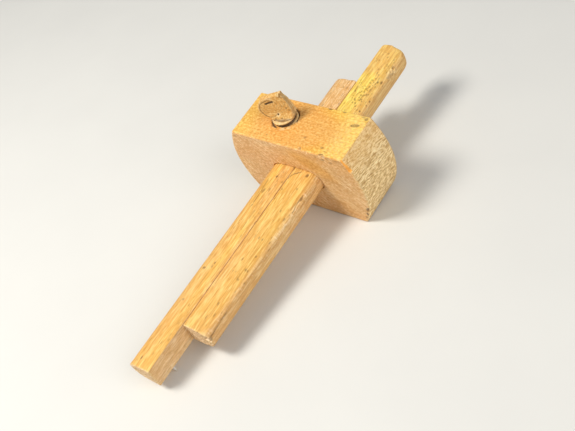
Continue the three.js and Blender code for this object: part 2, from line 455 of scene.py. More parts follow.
def late_wood(n, place, grain, pith, ring):
    """Up to 1 in the dark late wood of each year's ring round the pith, and 0 between them."""
    sway = n.noise(place, along(grain, 70, 14), 2.0)
    flat = [0.0 if i == grain else 1.0 for i in range(3)]
    from_pith = n.vector("SUBTRACT", place, [p * MM for p in pith]).outputs[0]
    across = n.vector("MULTIPLY", from_pith, flat).outputs[0]
    radius = n.vector("LENGTH", across).outputs["Value"]
    years = n.plus(n.times(radius, 1 / (ring * MM)), n.times(sway, 2.2))
    season = n.math("FRACT", years)
    return n.times(n.ramp(season, 0.45, 0.93), n.ramp(season, 1.0, 0.95))


def grain_colour(n, colours, noises, late, figure, mottle):
    """Clean planed wood: broad bands under streaks, rings, mottling, grit, veins and flecks."""
    thin = n.math("ABSOLUTE", n.math("SUBTRACT", noises["vein"], 0.5))
    return n.tones(colours["warm"], colours, (
        (noises["broad"], 0.38, 0.62, 1.0, "light"),
        (noises["streak"], 0.52, 0.6, 0.8 * figure, "dark"),
        (noises["streak"], 0.47, 0.37, 0.6 * figure, "pale"),
        (late, 0.0, 1.0, 0.38 * figure, "dark"),
        (noises["patch"], 0.48, 0.64, mottle, "warm"),
        (noises["speckle"], 0.52, 0.68, 0.9 * mottle, "dark"),
        (noises["speckle"], 0.48, 0.34, 0.9 * mottle, "pale"),
        (noises["grit"], 0.5, 0.6, 0.75, "warm"),
        (noises["grit"], 0.56, 0.68, 0.8, "dark"),
        (noises["grit"], 0.47, 0.36, 0.8, "pale"),
        (noises["fibre"], 0.53, 0.66, 0.4 * figure, "dark"),
        (thin, 0.016, 0.004, 0.6 * figure, "dark"),
        (noises["fleck"], 0.68, 0.76, 0.4, "dirt"),
    ))


def aged_colour(n, colour, colours, noises):
    """colour yellowed where the tone layer is above 0, faded and scuffed below 0, and stained."""
    tone = n.layer("tone")
    faded = n.ramp(tone, 0.0, -1.0)
    colour = n.mix(n.ramp(tone, 0.0, 1.0, 0.0, 0.85), colour, YELLOWED, "MULTIPLY")
    colour = n.mix(n.times(faded, 0.8), colour, FADED, "MULTIPLY")
    smudged = n.times(n.ramp(noises["smudge"], 0.5, 0.66, 0.0, 0.6), faded)
    colour = n.mix(smudged, colour, colours["dark"])
    scratched = n.times(n.ramp(noises["scratch"], 0.56, 0.64, 0.0, 0.6), faded)
    colour = n.mix(scratched, colour, colours["end_light"])
    return n.mix(n.layer("stain"), colour, STAINED, "MULTIPLY")


def end_colour(n, colours, noises):
    """Sawn end grain: pale tufts of fibre over darker wood."""
    tuft = n.plus(n.times(n.layer("fuzz"), 0.16), noises["hair"])
    return n.tones(colours["end_dark"], colours, (
        (tuft, 0.47, 0.6, 1.0, "end_mid"),
        (tuft, 0.58, 0.7, 1.0, "end_light"),
        (noises["patch"], 0.46, 0.66, 0.12, "end_dark"),
        (noises["grit"], 0.52, 0.72, 0.35, "end_dark"),
    ))


def handled_colour(n, place, colour, colours, polish):
    """colour with the rubbed and worn places, painted highlights, the grimy places and painted shade
    laid over it.
    """
    colour = n.mix(n.times(polish, 0.85), colour, colours["rubbed"])
    ragged = n.ramp(n.noise(place, (1.6, 1.6, 1.6), 3.0), 0.3, 0.6)
    wear = n.times(n.layer("wear"), ragged)
    colour = n.mix(n.times(wear, 0.8), colour, colours["worn"])
    return n.mix(n.layer("dirt"), colour, colours["dirt"])


def wood_relief(n, noises, cut):
    """The height of the grain: open streaks and fibres, sunken flecks, and tufts on sawn ends."""
    height = n.times(noises["streak"], 0.5)
    tufts = n.times(noises["hair"], cut)
    sunken = n.ramp(noises["fleck"], 0.68, 0.76, 0.0, 0.4)
    parts = ((noises["fibre"], 0.35), (sunken, -0.8), (tufts, 3.6), (noises["speckle"], 0.25))
    for value, amount in parts:
        height = n.plus(height, n.times(value, amount))
    return height


def wood(name, colours, grain, pith, ring, figure=1.0, mottle=0.35, grit_size=(1.5, 1.1)):
    """Bare old wood.

    grain is the axis that the fibres run along, pith a point on the middle of the tree and ring a
    year's growth. figure and mottle are the strength of the streaks and of the patches, and grit_size
    is the length and width of the grit.
    """
    n = Nodes(name)
    place = n.place()
    noises = wood_noises(n, place, grain, grit_size)
    cut, polish = n.layer("end_grain"), n.layer("polish")
    late = late_wood(n, place, grain, pith, ring)
    colour = grain_colour(n, colours, noises, late, figure, mottle)
    colour = aged_colour(n, colour, colours, noises)
    colour = n.mix(cut, colour, end_colour(n, colours, noises))
    colour = handled_colour(n, place, colour, colours, polish)
    dull = n.plus(n.ramp(noises["streak"], 0.3, 0.7, 0.46, 0.6), n.times(cut, 0.25))
    dull = n.math("SUBTRACT", dull, n.times(polish, 0.12))
    inputs = {"Base Color": colour, "Roughness": dull, "Specular IOR Level": 0.35}
    return n.coat(inputs, wood_relief(n, noises, cut), 0.55, 0.16)


def steel(name, colour, rust):
    """Dull steel wire, filed to a point, with a little rust, its pale colour partly a painted sheen."""
    n = Nodes(name)
    place = n.place()
    spots = n.noise(place, (0.9, 0.9, 0.9), 5.0, 0.65)
    filed = n.noise(place, (0.12, 0.12, 2.5), 3.0)
    rusty = n.ramp(spots, 0.6, 0.72, 0.0, 0.7)
    # The pale colour, shown through a metal only half metallic, is partly a painted sheen for the pins'
    # bright reflection.
    bright = n.mix(n.ramp(filed, 0.3, 0.7, 0.0, 0.35), colour, [c * 0.6 for c in colour])
    inputs = {
        "Base Color": n.mix(rusty, bright, rust),
        "Metallic": n.ramp(rusty, 0.0, 0.8, 0.55, 0.1),
        "Roughness": n.plus(n.ramp(filed, 0.3, 0.7, 0.24, 0.4), rusty),
    }
    return n.coat(inputs, filed, 0.3, 0.03)


def leather(name, colour, dark):
    """Pressed leather with a fine grain and darker stains."""
    n = Nodes(name)
    place = n.place()
    cells = n.add("ShaderNodeTexVoronoi", {"Vector": n.scaled(place, (0.5, 0.5, 0.5)), "Scale": 1.0})
    grainy = n.ramp(cells.outputs["Distance"], 0.1, 0.6)
    stain = n.noise(place, (3, 3, 3), 4.0)
    stained = n.mix(n.ramp(stain, 0.35, 0.65), colour, dark)
    inputs = {
        "Base Color": n.mix(n.ramp(grainy, 0.0, 0.5, 0.5, 0.0), stained, dark),
        "Roughness": n.ramp(stain, 0.3, 0.7, 0.55, 0.8),
    }
    return n.coat(inputs, grainy, 0.5, 0.08)


def plain_floor(name, colour):
    """The pale board under the gauge, with a barely seen tooth."""
    n = Nodes(name)
    place = n.place()
    cloudy = n.ramp(n.noise(place, (60, 60, 60), 3.0), 0.3, 0.7, 0.0, 0.08)
    inputs = {"Base Color": n.mix(cloudy, colour, (0.5, 0.5, 0.5)), "Roughness": 0.85}
    return n.coat(inputs, n.noise(place, (1, 1, 1), 2.0), 0.1, 0.05)


def shade(colour, red, green, blue):
    return [c * f for c, f in zip(colour[:3], (red, green, blue))]


def wood_colours(settings, base, ends):
    """The tones of one piece of wood, worked out from its main colour and its end grain's."""
    return {
        "light": shade(base, 1.0, 1.02, 1.0),
        "warm": shade(base, 0.98, 0.84, 0.7),
        "pale": shade(base, 1.12, 1.24, 1.6),
        "dark": shade(base, 0.72, 0.58, 0.45),
        "rubbed": shade(base, 1.2, 0.84, 0.35),
        # Also the colour of painted highlights on edges, the plate's flank and the thread.
        "worn": settings.wear_and_highlight_colour,
        # Also the colour of painted shade in recesses and under edges.
        "dirt": settings.dirt_and_shade_colour,
        "end_light": shade(ends, 1.3, 1.5, 2.0),
        "end_mid": ends[:3],
        "end_dark": shade(ends, 0.56, 0.45, 0.34),
    }


# ---- Settings ----


def size_setting(name, description, millimetres, least=0.0):
    return bpy.props.FloatProperty(
        name=name, description=description, default=millimetres * MM, min=least * MM,
        unit="LENGTH", precision=5,
    )


def colour_setting(name, description, *default):
    return bpy.props.FloatVectorProperty(
        name=name, description=description, default=default, size=len(default),
        subtype="COLOR", min=0.0, max=1.0,
    )


class GaugeSizes(bpy.types.PropertyGroup):
    """Sizes of the finish that can be changed"""

    wood_mesh: size_setting("Wood Mesh", "Mesh size on the head and stems", 0.42, 0.2)
    screw_mesh: size_setting("Screw Mesh", "Mesh size on the thumb screw", 0.22, 0.1)
    pad_mesh: size_setting("Pad Mesh", "Mesh size on the pressure pad", 0.3, 0.1)
    fuzz_depth: size_setting("Fuzz Depth", "Depth of the sawn end grain on the head's ends", 0.34)
    corner_wear: size_setting("Corner Wear", "Width of the rubbed edge at the head's top right", 3.2)
    edge_wear: size_setting("Edge Wear", "Width of the eased edges elsewhere", 0.5)


class GaugeColours(bpy.types.PropertyGroup):
    """Colours that can be changed"""

    head_colour: colour_setting("Head", "Main colour of the head", 0.8, 0.46, 0.125, 1.0)
    head_end_colour: colour_setting("Head Ends", "Colour of the head's end grain", 0.9, 0.63, 0.28, 1.0)
    stem_colour: colour_setting("Stems", "Main colour of the stems", 0.8, 0.49, 0.14, 1.0)
    stem_end_colour: colour_setting(
        "Stem Ends", "Colour of the stems' sawn ends and split faces", 0.84, 0.57, 0.29, 1.0
    )
    screw_colour: colour_setting("Thumb Screw", "Main colour of the screw", 0.74, 0.46, 0.145, 1.0)
    # Also colours painted highlights on edges, the plate's flank and the thread.
    wear_and_highlight_colour: colour_setting("Worn Edges", "Colour of rubbed, pale edges", 0.86, 0.68, 0.38)
    # Also colours painted shade in recesses and under edges.
    dirt_and_shade_colour: colour_setting("Dirt", "Colour of pits, cracks and stains", 0.12, 0.06, 0.022)
    # Pale, partly a painted sheen for the pins' bright reflection.
    steel_and_sheen_colour: colour_setting("Steel", "Colour of the pins", 0.93, 0.92, 0.88)
    leather_colour: colour_setting("Leather", "Colour of the pressure pad", 0.19, 0.09, 0.04)
    floor_colour: colour_setting("Floor", "Colour of the floor", 0.72, 0.72, 0.7)


# ---- Head ----


def head_end_depths(points, low, high):
    """Depth of each point below the nearer bowed end, and the unit way out of that end."""
    half_height = (high[2] - low[2]) / 2
    middle = (high[2] + low[2]) / 2
    flat = node_points("gauge_head")
    top_half = abs(flat[flat[:, 2] > high[2] - 0.05, 1]).max()
    bulge = high[1] - top_half
    radius = (half_height**2 + bulge**2) / (2 * bulge)
    side = np.where(points[:, 1] > 0, 1.0, -1.0)
    across = points[:, 1] - side * (high[1] - radius)
    up = points[:, 2] - middle
    far = np.hypot(across, up)
    out = np.stack([np.zeros(len(points)), across / far, up / far], 1)
    return radius - far, out


# The marks of a face: the place of each, its half length and half width, and then a split's turn, or
# how dark a chip or pit is.
CORNER_SPLITS = (
    (41.6, -39.5, 2.2, 0.9, 1.1),
    (40.2, -43.8, 1.6, 0.7, 1.5),
    (38.7, -47.2, 1.0, 0.6, 0.4),
)
TOP_CHIPS = (
    (-31.0, 11.8, 0.8, 1.5, 0.7),
    (-31.1, 21.1, 0.7, 1.3, 0.65),
    (-29.6, 35.8, 1.3, 1.1, 0.6),
    (-30.4, 33.6, 0.7, 1.2, 0.45),
    (-8.8, 8.8, 0.7, 1.0, 0.4),
    (-5.2, 22.4, 0.6, 1.2, 0.55),
    (-3.2, 25.6, 0.4, 1.0, 0.5),
    (-4.4, -14.6, 0.5, 0.6, 0.55),
    (-12.0, 14.5, 0.4, 0.5, 0.35),
)
FRONT_PITS = (
    (24.4, -3.6, 1.7, 0.6, 0.6),
    (29.2, -4.6, 1.4, 0.5, 0.55),
    (20.2, -3.0, 1.0, 0.4, 0.4),
    (-36.2, -3.4, 1.4, 0.7, 0.4),
)


class HeadSkin(Skin):
    """The head's skin, and how much each point belongs to each face, found before any point moves."""

    def __init__(self, mesh):
        super().__init__(mesh)
        self.low, self.high = node_box("gauge_head")
        half = self.high[1]
        across = abs(self.points[:, 1])
        self.outside = np.where(across > 0.35 * half, 1.0, 0.0)
        self.end = step(0.7, 0.86, abs(self.facing[:, 1])) * step(0.72 * half, 0.78 * half, across)
        self.front = step(0.7, 0.9, self.facing[:, 0])
        self.back = step(0.7, 0.9, -self.facing[:, 0])
        self.top = step(0.75, 0.93, self.facing[:, 2])


def saw_ends(skin, fuzz):
    """Ragged ridges of fibre across the head's thickness, on both of its ends."""
    x, _, z = skin.points.T
    slanted = skin.points + np.outer(0.1 * x, UP)
    ridges = lumps(slanted, (3.6, 40, 0.85), SEED) + 0.6 * lumps(slanted, (2.0, 30, 0.45), SEED + 1)
    tufts = skin.lumps((1.1, 3, 0.8), 2)
    patches = 0.65 + 0.45 * skin.lumps((9, 9, 11), 3)
    rough = np.clip((ridges + 0.45 * tufts) * patches, -1.4, 1.4)
    skin.push(skin.end * fuzz * (0.5 * rough - 0.7))
    skin.paint(end_grain=skin.end * (1 - 0.5 * step(-17, -3, z)))
    skin.paint(fuzz=0.5 + 0.4 * rough + 0.35 * step(-17, -3, z))


def hollow_faces(skin):
    """Slow hollows left by the plane."""
    planed = 1 - skin.end
    skin.push(planed * (0.07 * skin.lumps((13, 17, 13), 4) - 0.07))
    skin.push(planed * 0.025 * skin.lumps((1.2, 2.6, 1.2), 5))


def wear_head_edges(skin, sizes):
    """Edges eased a little all round, and rubbed or chipped in places, some with painted highlights."""
    points, outside = skin.points, skin.outside
    x, y, z = points.T
    low, high = skin.low, skin.high
    width = high[1]
    ragged = 0.7 + 0.5 * skin.lumps((2.4, 2.4, 2.4), 6)
    depth_end, out = head_end_depths(points, low, high)
    ease = sizes.edge_wear / MM * ragged
    right_top = (y > 0) * step(-9.4, -7.6, z)
    corner = sizes.corner_wear / MM * right_top * (0.6 + 0.3 * skin.lumps((3, 3, 3), 17))
    edge = np.maximum(ease * 1.3, corner) * outside
    rubbed = skin.bevel(high[0] - x, depth_end * (1 + 0.6 * right_top), -ALONG, -out, edge)
    skin.paint(polish=rubbed * right_top)
    skin.paint(wear=rubbed * (1 - right_top) * step(-0.1, 0.25, ragged - 0.6))
    # Pale front corners of the ends: partly a worn arris and partly a painted highlight.
    arris = step(1.6, 0.5, high[0] - x) * step(1.6, 0.5, depth_end) * outside * (1 - right_top)
    skin.paint(wear=0.9 * arris * step(0.35, 0.7, ragged))

    # The top's front edge, chipped to the right of the middle.
    chips = step(0.1, 0.6, skin.lumps((3, 2.2, 3), 7))
    chipped = between(0.2 * width, 0.86 * width, y, 3) * (0.45 + 1.1 * chips)
    worn = skin.bevel(high[0] - x, high[2] - z, -ALONG, -UP, np.maximum(ease, 1.5 * chipped))
    skin.paint(wear=0.4 * worn)
    # Painted highlight: a thin pale line along the top's front edge.
    rim = step(0.8, 0.2, high[0] - x) * step(0.35, 0.1, high[2] - z)
    skin.paint(wear=0.8 * rim * skin.top)
    # Painted shade: a dark strip, broken into specks, on the front just under that edge.
    under = between(0.5, 1.6, high[2] - z, 0.4) * skin.front * between(0.3 * width, 0.84 * width, y, 4)
    skin.paint(dirt=0.55 * under * step(0.0, 0.6, skin.lumps((0.9, 2.2, 0.9), 15)))
    torn = worn * between(0.25 * width, 0.8 * width, y, 3) * step(0.35, 0.8, chips)
    skin.paint(dirt=0.7 * torn * step(0.0, 0.5, skin.lumps((0.9, 1.6, 0.9), 8)))

    for depth_a, way_a in ((x - low[0], ALONG), (high[0] - x, -ALONG)):
        for depth_b, way_b in ((z - low[2], UP), (high[2] - z, -UP)):
            skin.paint(wear=0.5 * skin.bevel(depth_a, depth_b, way_a, way_b, ease * 0.8))
    skin.bevel(x - low[0], depth_end, ALONG, -out, ease * 1.4 * outside)
    for depth_b, way_b in ((z - low[2], UP), (high[2] - z, -UP)):
        skin.bevel(depth_end, depth_b, -out, way_b, ease * 1.2 * outside)
    skin.paint(wear=0.6 * step(0.06, 0.22, skin.keen) * outside)


def mark_head(skin):
    """A split lower corner, chips and pits, and an old oval bruise on the top."""
    for *at, length, width, turn in CORNER_SPLITS:
        skin.dent((0, *at), (length, width), 0.45, 0.8, SIDE_ALONG, turn)
    far, faces = skin.dent((-23.8, 31.9, 0), (0.9, 2.3), 0.25, 0.45, SIDE_UP, 0.25)
    skin.paint(dirt=0.75 * faces * step(0.4, 0.1, abs(far - 0.9)))
    skin.dents(TOP_CHIPS, 0, 0.22, SIDE_UP)
    skin.dents(FRONT_PITS, 0, 0.2, SIDE_ALONG, 0.1)


def tone_head(skin):
    """Broad tones: the top warmer round the screw and yellower to the right, the faces paler, with
    painted shade high on the front.
    """
    points, top, front = skin.points, skin.top, skin.front
    x, y, z = points.T
    away = np.hypot(x - 0.45 * skin.low[0], (y - 2) / 1.7)
    skin.tint(top * (0.75 * step(9, 21, away) * step(0, 16, y) - 0.15 * step(20, 8, away)))
    skin.tint(top * 0.35 * step(-22, -34, y))
    skin.paint(wear=0.32 * top * step(18, 31, y))
    skin.paint(stain=top * step(24, 8, away) * (0.8 + 0.3 * skin.lumps((9, 9, 9), 16)))
    brown = np.hypot((y - 14) / 15, (z + 9 + 0.55 * (y - 10)) / 6.5)
    paleness = 0.95 - 0.6 * step(1.3, 0.3, brown) + 0.2 * skin.lumps((12, 9, 7), 9)
    skin.tint(-(front + skin.back) * paleness)
    # The front browner and a little darker above the right stem.
    brown_patch = step(1.4, 0.4, brown) * front
    skin.paint(stain=0.9 * brown_patch, dirt=0.12 * brown_patch * step(-0.3, 0.6, skin.lumps((5, 8, 4), 10)))
    # Painted shade: the front darker, in patches, toward its top edge.
    grime = front * step(-7, -0.5, z)
    skin.paint(dirt=0.16 * grime * step(-0.6, 0.5, skin.lumps((4, 9, 3), 14)))
    underside = step(0.8, 0.95, -skin.facing[:, 2]) * skin.outside
    skin.paint(dirt=0.25 * underside * step(-0.2, 0.8, skin.lumps((9, 16, 9), 11)))


def chip_mouth(skin):
    """The mouth of the threaded hole: chipped, with a pale broken rim, a painted shadow in the gap on
    one side and painted shade down inside.
    """
    points, up = skin.points, skin.facing[:, 2]
    x, y, z = points.T
    axis = screw_axis()
    from_axis = np.hypot(x - axis[0], y - axis[1])
    rim = between(7.3, 8.7, from_axis, 0.6) * step(-2.4, -0.4, z) * step(-0.3, 0.2, up)
    toward_pins = step(-3.5, 2.5, x - axis[0] + 0.4 * (y - axis[1]))
    broken = skin.lumps((1.3, 1.3, 1.3), 12)
    skin.push(-0.35 * rim * toward_pins * step(0.0, 0.7, broken))
    pale = step(-0.1, 0.5, skin.lumps((2.0, 2.0, 2.0), 13))
    skin.paint(wear=0.7 * rim * toward_pins * pale, dirt=0.5 * rim * step(0.2, 0.7, broken))
    # Painted shadow: a dark crescent in the gap between hole and screw on one side.
    toward_gap = (0.6 * (x - axis[0]) - 0.8 * (y - axis[1])) / np.maximum(from_axis, 0.1)
    gap = between(7.3, 8.1, from_axis, 0.35) * step(0.62, 0.85, toward_gap) * step(-3.0, -0.8, z)
    skin.push(-0.4 * gap * step(0.3, 0.7, up))
    skin.paint(dirt=gap)
    # Painted shade down the inside of the hole.
    skin.paint(dirt=0.9 * step(8.6, 7.8, from_axis) * step(-0.1, -0.7, z))


def screw_axis():
    """Where the screw's axis meets the head's top, in the gauge's own axes, in millimetres."""
    return np.array(GAUGE.inverted() @ Vector(joint("screw_turn")["pos_m"])) / MM


class GAUGE_OT_head(bpy.types.Operator):
    """Make the worn head of the gauge"""

    bl_idname = "gauge.head"
    bl_label = "Head"

    def execute(self, context):
        sizes, colours = context.scene.gauge_sizes, context.scene.gauge_colours
        skin = fine_skin("gauge_head", sizes.wood_mesh, 1, HeadSkin)
        saw_ends(skin, sizes.fuzz_depth / MM)
        hollow_faces(skin)
        wear_head_edges(skin, sizes)
        mark_head(skin)
        tone_head(skin)
        chip_mouth(skin)
        skin.finish()
        tones = wood_colours(colours, colours.head_colour, colours.head_end_colour)
        material = wood("head_beech", tones, 1, (-60.0, 0.0, 38.0), 3.4, 0.55, 0.42)
        add_piece("head_block", skin.mesh, "head", material, "gauge_head")
        return {"FINISHED"}


# ---- Stems ----


# The marks on the stems' upper sides, as for the head.
LEFT_STEM_MARKS = (
    (8.4, -6.8, 0.9, 0.7, 0.85),
    (19.2, -9.0, 2.2, 0.9, 0.55),
    (69.3, -6.6, 0.9, 0.45, 0.7),
    (73.8, -11.4, 0.8, 1.4, 0.55),
    (96.0, -4.2, 1.4, 0.3, 0.4),
    (112.0, -12.2, 1.2, 0.3, 0.35),
)
RIGHT_STEM_MARKS = (
    (2.2, 10.2, 1.3, 0.8, 0.7),
    (16.2, 14.6, 1.7, 0.6, 0.6),
    (61.7, 7.0, 1.1, 0.4, 0.65),
    (57.3, 12.6, 0.8, 0.4, 0.55),
    (66.3, 12.2, 0.9, 0.4, 0.6),
    (-71.6, 12.6, 1.0, 0.6, 0.75),
    (-72.6, 14.3, 1.3, 0.5, 0.7),
    (-80.6, 8.2, 0.9, 0.5, 0.45),
    (-87.4, 5.0, 0.7, 0.4, 0.4),
)

WORM_HOLES = 58
PORES = 40


def shape_stem(skin, node, side, sizes):
    """What both stems share. side is -1 for the left one and 1 for the right one."""
    low, high = node_box(node)
    points, facing = skin.points, skin.facing
    x, y, z = points.T
    out = side * y  # distance from the split
    seed = 50 if side > 0 else 80
    cut = step(0.72, 0.9, abs(facing[:, 0]))
    split = step(0.8, 0.95, -side * facing[:, 1])
    top = step(0.2, 0.7, facing[:, 2])

    # Scraped along the grain, with a few slow waves.
    skin.push((1 - cut) * (0.05 * skin.lumps((44, 6, 6), seed) - 0.05))
    skin.push((1 - cut) * (1 - split) * 0.035 * skin.lumps((14, 0.9, 0.9), seed + 1))
    skin.push(cut * (0.1 * skin.lumps((2, 1.1, 1.1), seed + 2) - 0.12))
    skin.paint(end_grain=cut)
    skin.paint(end_grain=0.22 * split)
    skin.tint(-0.95 * split)
    skin.paint(fuzz=0.55 + 0.16 * skin.lumps((5, 1.2, 1.2), seed + 3) * (1 + cut))

    # Ends and the arris along the split, eased by hand.
    ragged = 0.7 + 0.5 * skin.lumps((2.2, 2.2, 2.2), seed + 4)
    ease = sizes.edge_wear / MM * ragged
    inner = side * ACROSS
    outer = abs(low[1]) if side < 0 else high[1]
    for depth, way, width in ((high[0] - x, -ALONG, 1.0), (x - low[0], ALONG, 1.6)):
        for depth_b, way_b in ((high[2] - z, -UP), (z - low[2], UP), (out - 0.15, inner)):
            worn = skin.bevel(depth, depth_b, way, way_b, ease * width)
            skin.paint(wear=0.75 * worn)
        skin.bevel(depth, outer - out, way, -inner, ease * width * 1.6)
    rim = step(0.9, 0.35, high[0] - x) * (1 - cut)
    skin.paint(wear=0.85 * rim * step(-0.4, 0.2, ragged - 0.5))
    arris = skin.bevel(high[2] - z, out - 0.15, -UP, inner, ease * 0.5)
    skin.paint(wear=0.45 * arris)
    skin.paint(wear=0.6 * step(0.12, 0.3, skin.keen))

    # Pores in the upper side, streaks of tone, and grime where the stem leaves the head.
    pores = skin.lumps((3.2, 0.6, 0.6), seed + 5)
    skin.paint(dirt=0.5 * top * step(0.6, 0.8, pores) * (1 - cut))
    skin.tint((1 - cut) * 0.3 * skin.lumps((46, 5, 5), seed + 6))
    grime = between(-2, 14, x, 6) * step(0.0, 0.7, skin.lumps((7, 3, 3), seed + 7))
    skin.paint(dirt=0.14 * grime)


def mark_left_stem(skin):
    """Cracks and nicks on top, and grime and wear on the face that shows beside the shorter stem."""
    low, high = node_box("left_stem")
    x, _, z = skin.points.T
    top = high[2]
    skin.crack([(30, -9.4, top), (20, -10.3, top), (11, -11.4, top)], 0.22, 0.3, 0.75, SIDE_UP)
    skin.crack([(46, -5.2, top), (22, -5.5, top), (4, -5.3, top)], 0.14, 0.12, 0.45, SIDE_UP)
    skin.dents(LEFT_STEM_MARKS, top, 0.22, SIDE_UP)
    skin.dent((high[0] - 5.4, -9.6, top), (1.1, 0.5), 0.22, 0.75, SIDE_UP)
    skin.tint(-0.75 * step(-30, -36, x))
    inner_face = step(0.85, 0.97, skin.facing[:, 1])
    skin.paint(dirt=0.16 * inner_face * step(-0.1, 0.8, skin.lumps((11, 3, 3), 90)))
    bottom_edge = step(low[2] + 3.4, low[2] + 1.2, z) * inner_face
    skin.paint(wear=0.35 * bottom_edge)


def mark_right_stem(skin):
    """Cracks and nicks, worm holes behind the head, and broken corners at both ends."""
    low, high = node_box("right_stem")
    x, y, z = skin.points.T
    top = high[2]
    corner_crack = [(7.6, 0.3, top), (5.4, 1.0, top), (3.6, 2.4, top), (1.4, 5.4, top)]
    skin.crack(corner_crack, 0.24, 0.4, 0.85, SIDE_UP)
    skin.crack([(26, 15.6, -20.8), (14, 15.4, -20.3)], 0.15, 0.3, 0.6, SIDE_ACROSS)
    skin.crack([(high[0] - 1, 15.2, -22.6), (90, 15.6, -21.9)], 0.16, 0.35, 0.7, SIDE_ACROSS)
    skin.crack([(-61.4, 2.9, top), (-65.2, 3.2, top)], 0.24, 0.3, 0.8, SIDE_UP)
    skin.dents(RIGHT_STEM_MARKS, top, 0.24, SIDE_UP)

    # A swarm of worm holes behind the head, and stray pores round it.
    draw = np.random.default_rng(SEED)
    for _ in range(WORM_HOLES):
        at = (-60.0 + draw.normal(0, 6.4), 9.8 + draw.normal(0, 2.5), top)
        radius = draw.uniform(0.24, 0.42)
        size = (radius * draw.uniform(1.0, 2.1), radius)
        skin.dent(at, size, 0.25, draw.uniform(0.5, 0.85), SIDE_UP)
    for _ in range(PORES):
        at = (draw.uniform(-96, -34), draw.uniform(2, 14), top)
        size = (draw.uniform(0.3, 0.9), 0.3)
        skin.dent(at, size, 0.15, draw.uniform(0.3, 0.6), SIDE_UP)

    # Broken fibres on the near end's outer corner, a far corner worn round, and a chip near it.
    corner = step(high[0] - 3.2, high[0], x) * step(9, 14, y)
    torn = skin.lumps((1.3, 1.3, 1.3), 60)
    skin.points[:, 0] -= 1.1 * corner * step(-0.2, 0.7, torn)
    skin.paint(dirt=0.5 * corner * step(0.3, 0.8, torn), wear=0.8 * corner * step(0.1, -0.5, torn))
    skin.relax(110, step(low[0] + 8, low[0] + 3, x) * step(6, 11, y))
    chip = step(5.5, 2.0, np.hypot((x + 82.5) / 1.3, (z + 21.5))) * step(12.5, 15, y)
    skin.push(-0.8 * chip * step(-0.6, 0.4, torn))
    skin.paint(dirt=0.45 * chip * step(-0.1, 0.7, torn), wear=chip * 0.7)

    # Yellowed behind the head, most of all beside the split, and faded on the outer side.
    near_split, behind = between(0, 8, y, 3), between(-100, -30, x, 6)
    skin.tint(0.9 * near_split * between(-72, -36, x, 8) + 0.35 * behind)
    skin.paint(wear=0.18 * behind)
    flank = step(0.35, 0.8, skin.facing[:, 1])
    skin.tint(-0.6 * flank)
    skin.paint(fuzz=0.6 * flank)


class GAUGE_OT_stems(bpy.types.Operator):
    """Make both stems, split from one oval bar"""

    bl_idname = "gauge.stems"
    bl_label = "Stems"

    def execute(self, context):
        sizes, colours = context.scene.gauge_sizes, context.scene.gauge_colours
        tones = wood_colours(colours, colours.stem_colour, colours.stem_end_colour)
        plan = (
            ("left_stem", -1, mark_left_stem, (0.0, -31.0, 20.0)),
            ("right_stem", 1, mark_right_stem, (0.0, 19.0, 44.0)),
        )
        for node, side, mark, pith in plan:
            skin = fine_skin(node, sizes.wood_mesh, 1)
            shape_stem(skin, node, side, sizes)
            mark(skin)
            skin.finish()
            material = wood(node + "_beech", tones, 0, pith, 2.1, 1.25, 0.25, (7.0, 0.75))
            add_piece(node + "_bar", skin.mesh, node, material, node)
        return {"FINISHED"}


# ---- Pins ----


PIN_SIDES = 28
PIN_RINGS = 26
PIN_POINT = 2.4  # length of the filed point, in millimetres


def pin_bmesh(node):
    """A slightly uneven wire pin with a filed, faceted point, in the gauge's own axes."""
    low, high = node_box(node)
    middle = (low + high) / 2
    radius = (high[0] - low[0]) / 2
    draw = np.random.default_rng(SEED + 5)
    bm = bmesh.new()
    previous = None
    for i in range(PIN_RINGS + 1):
        up = low[2] + (high[2] - low[2]) * (i / PIN_RINGS) ** 1.4
        tip = min(1.0, (up - low[2]) / PIN_POINT)
        size = radius * (0.14 + 0.84 * tip**0.85) * (1 - 0.02 * draw.random())
        ring = []
        for k in range(PIN_SIDES):
            angle = 2 * math.pi * k / PIN_SIDES
            filed = 1 - 0.12 * (1 - tip) * abs(math.sin(2.5 * angle))
            x = middle[0] + size * filed * math.cos(angle)
            y = middle[1] + size * filed * math.sin(angle)
            ring.append(bm.verts.new(Vector((x, y, up)) * MM))
        if previous:
            for k in range(PIN_SIDES):
                after = (k + 1) % PIN_SIDES
                bm.faces.new((previous[k], previous[after], ring[after], ring[k]))
        else:
            bm.faces.new(reversed(ring))
        previous = ring
    bm.faces.new(previous)
    return bm


class GAUGE_OT_pins(bpy.types.Operator):
    """Make the two steel scribing pins"""

    bl_idname = "gauge.pins"
    bl_label = "Pins"

    def execute(self, context):
        colours = context.scene.gauge_colours
        material = steel("pin_steel_wire", colours.steel_and_sheen_colour, (0.16, 0.07, 0.03))
        for node, body in (("left_pin", "left_stem"), ("right_pin", "right_stem")):
            mesh = bpy.data.meshes.new(node)
            bm = pin_bmesh(node)
            bmesh.ops.transform(bm, matrix=GAUGE, verts=bm.verts)
            bm.to_mesh(mesh)
            bm.free()
            add_piece(node + "_wire", mesh, body, material, node)
        return {"FINISHED"}


# ---- Thumb screw ----


def plate_frame():
    """The thumb plate's ways across its face, and out of the face that looks to the stems' pins."""
    points = node_points("thumb_screw")
    plate = points[points[:, 2] > 6.0, :2]
    values, ways = np.linalg.eigh(np.cov((plate - plate.mean(0)).T))
    across = np.array([*ways[:, values.argmax()], 0.0])
    across *= -np.sign(across[0]) or 1.0
    out = np.array([across[1], -across[0], 0.0])
    return across, out


# Dark pits on the plate's face: each one's place across and up the plate, and its radius.
PLATE_PITS = ((3.9, 9.9, 0.42), (2.4, 11.6, 0.3), (5.0, 8.4, 0.34), (0.4, 3.9, 0.3))
RING_STEP = 1.45  # from one growth ring to the next round the knot


